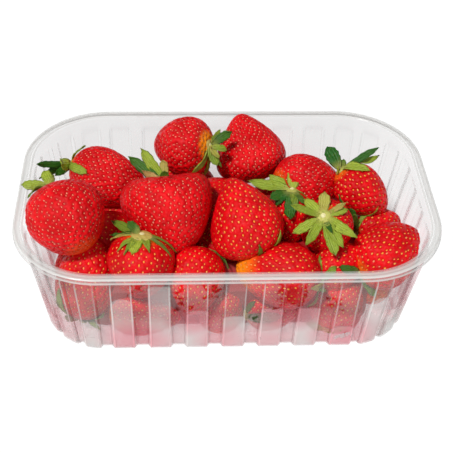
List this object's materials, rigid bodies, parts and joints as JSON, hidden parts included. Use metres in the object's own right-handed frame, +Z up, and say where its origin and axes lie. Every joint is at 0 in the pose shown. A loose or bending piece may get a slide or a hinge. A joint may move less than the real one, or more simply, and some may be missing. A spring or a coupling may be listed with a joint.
{
  "type": "punnet of strawberries",
  "caption": "Clear ribbed plastic punnet without a lid, heaped with whole strawberries.",
  "frame": {"origin": "middle of the tray's base, on the surface it stands on", "axes": "+X along the long side of the tray, +Y towards its back wall, +Z up"},
  "size_m": [0.187, 0.12, 0.0717],
  "materials": {
    "clear_plastic": "gloss",
    "strawberry": "satin",
    "leaf": "matte"
  },
  "bodies": {
    "root": {"tray": "clear_plastic", "strawberries": "strawberry"}
  },
  "joints": []
}
